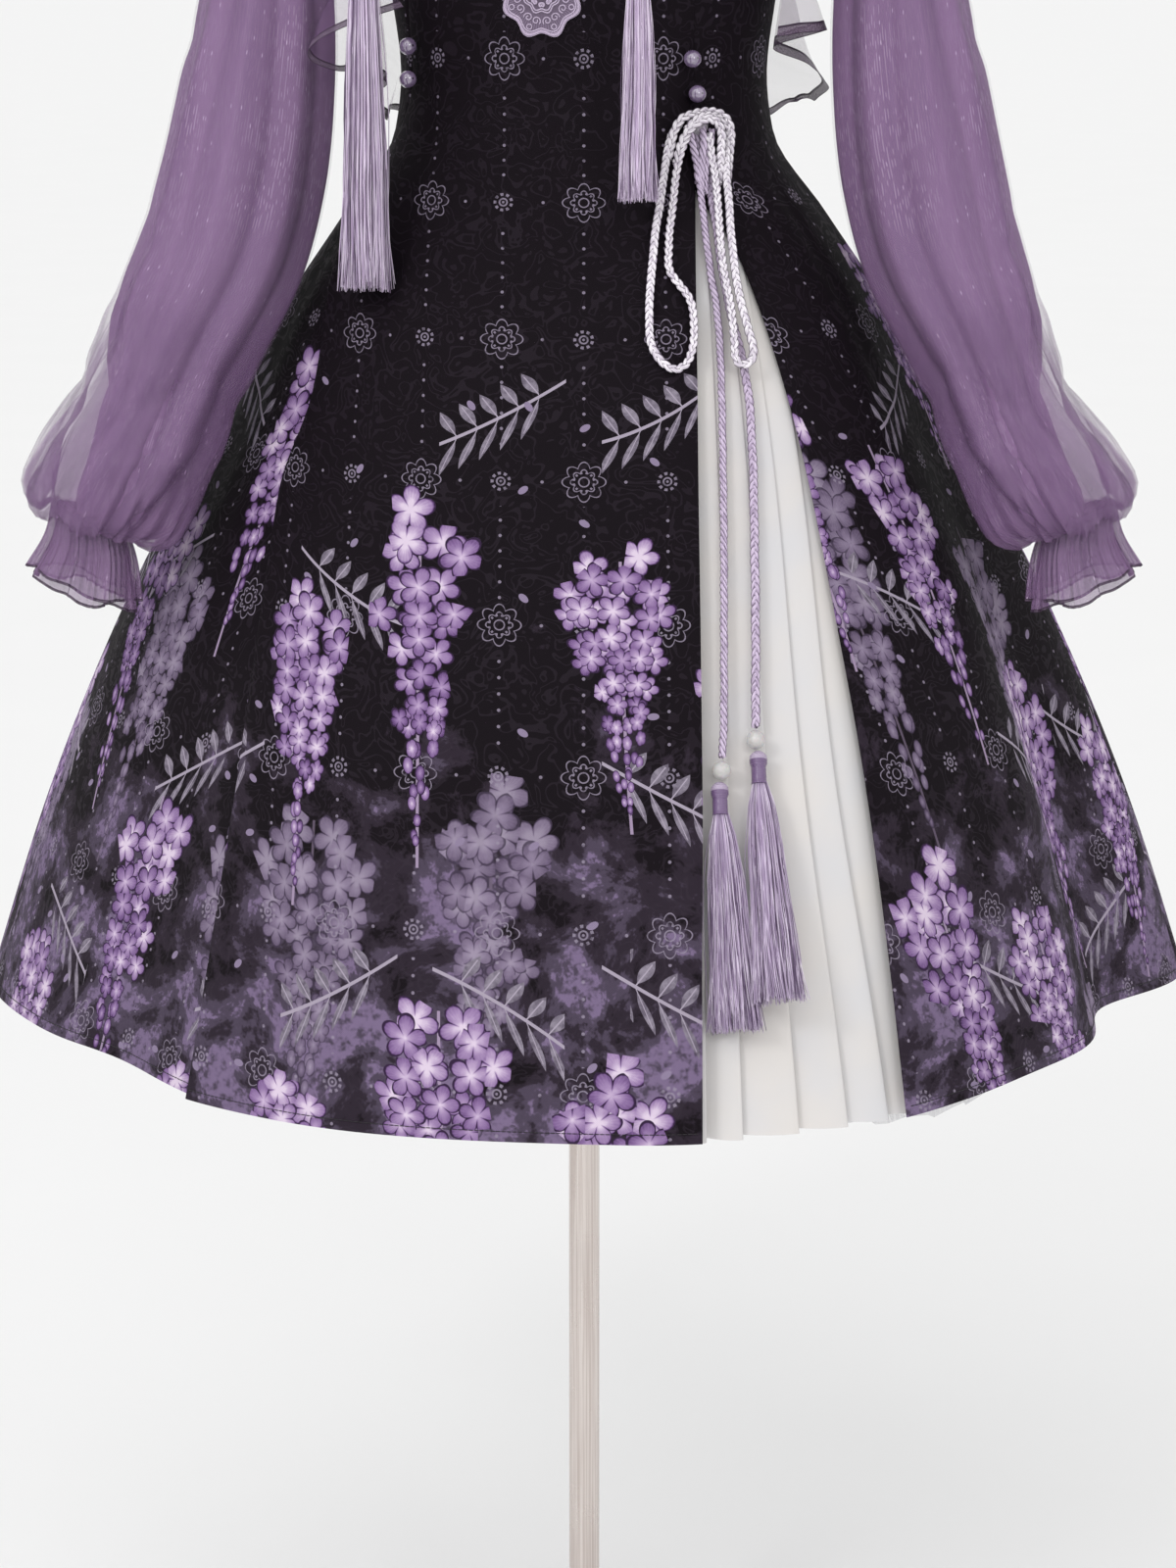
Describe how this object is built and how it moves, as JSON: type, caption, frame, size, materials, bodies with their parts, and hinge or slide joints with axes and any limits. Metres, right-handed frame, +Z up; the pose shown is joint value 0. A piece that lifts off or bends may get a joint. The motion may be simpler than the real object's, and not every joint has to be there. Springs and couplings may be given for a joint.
{
  "type": "east asian dress set on a limbless dress form with a stand",
  "caption": "Sleeveless A-line dress with slit, pleated insert and tied cord under a sheer open bolero with full sleeves and flounce, on a dress form with pole stand.",
  "frame": {"origin": "centre of the underside of the stand's base plate, on the floor", "axes": "+Z up along the pole, -Y the way the dress faces, +X to the wearer's left"},
  "size_m": [0.7762, 0.7569, 1.5984],
  "materials": {
    "black_cloth": "matt woven cotton satin with a printed flower pattern in lavender and purple",
    "white_cloth": "matt white pleated cotton",
    "white_net": "open white net",
    "sheer_cloth": "sheer lavender chiffon with a lengthwise shimmer",
    "lavender_silk": "satin silk thread",
    "cord_silk": "braided silky cord, white and lavender",
    "lace": "embroidered lace",
    "bead": "pearly",
    "clear_bead": "milky, polished",
    "form_cover": "matt jersey",
    "steel": "polished, slightly warm",
    "cap_wood": "satin varnish"
  },
  "bodies": {
    "root": {"base_plate": "steel", "base_collar": "steel", "pole": "steel", "form_flange": "steel", "form_torso": "form_cover", "neck_cap": "cap_wood", "front_panel": "black_cloth", "side_panel_right": "black_cloth", "side_panel_left": "black_cloth", "back_panel_left": "black_cloth", "back_panel_right": "black_cloth", "pleated_insert": "white_cloth", "petticoat": "white_net", "medallion": "lace", "bead_button_1": "bead", "bead_button_2": "bead", "bead_button_3": "bead", "bead_button_4": "bead", "bolero_back": "sheer_cloth", "bolero_front_left": "sheer_cloth", "bolero_front_right": "sheer_cloth", "bolero_flounce": "sheer_cloth", "sleeve_left": "sheer_cloth", "sleeve_right": "sheer_cloth", "sleeve_lining_left": "sheer_cloth", "sleeve_lining_right": "sheer_cloth", "cuff_left": "sheer_cloth", "cuff_right": "sheer_cloth", "bow_knot": "cord_silk", "bow_loop_right": "cord_silk", "bow_loop_left": "cord_silk", "bow_tail_right": "cord_silk", "bow_tail_left": "cord_silk", "tail_bead_right": "clear_bead", "tail_head_right": "lavender_silk", "tail_fringe_right": "lavender_silk", "tail_bead_left": "clear_bead", "tail_head_left": "lavender_silk", "tail_fringe_left": "lavender_silk", "chest_button_right": "bead", "chest_cord_right": "cord_silk", "chest_head_right": "lavender_silk", "chest_fringe_right": "lavender_silk", "chest_button_left": "bead", "chest_cord_left": "cord_silk", "chest_head_left": "lavender_silk", "chest_fringe_left": "lavender_silk"}
  },
  "joints": []
}
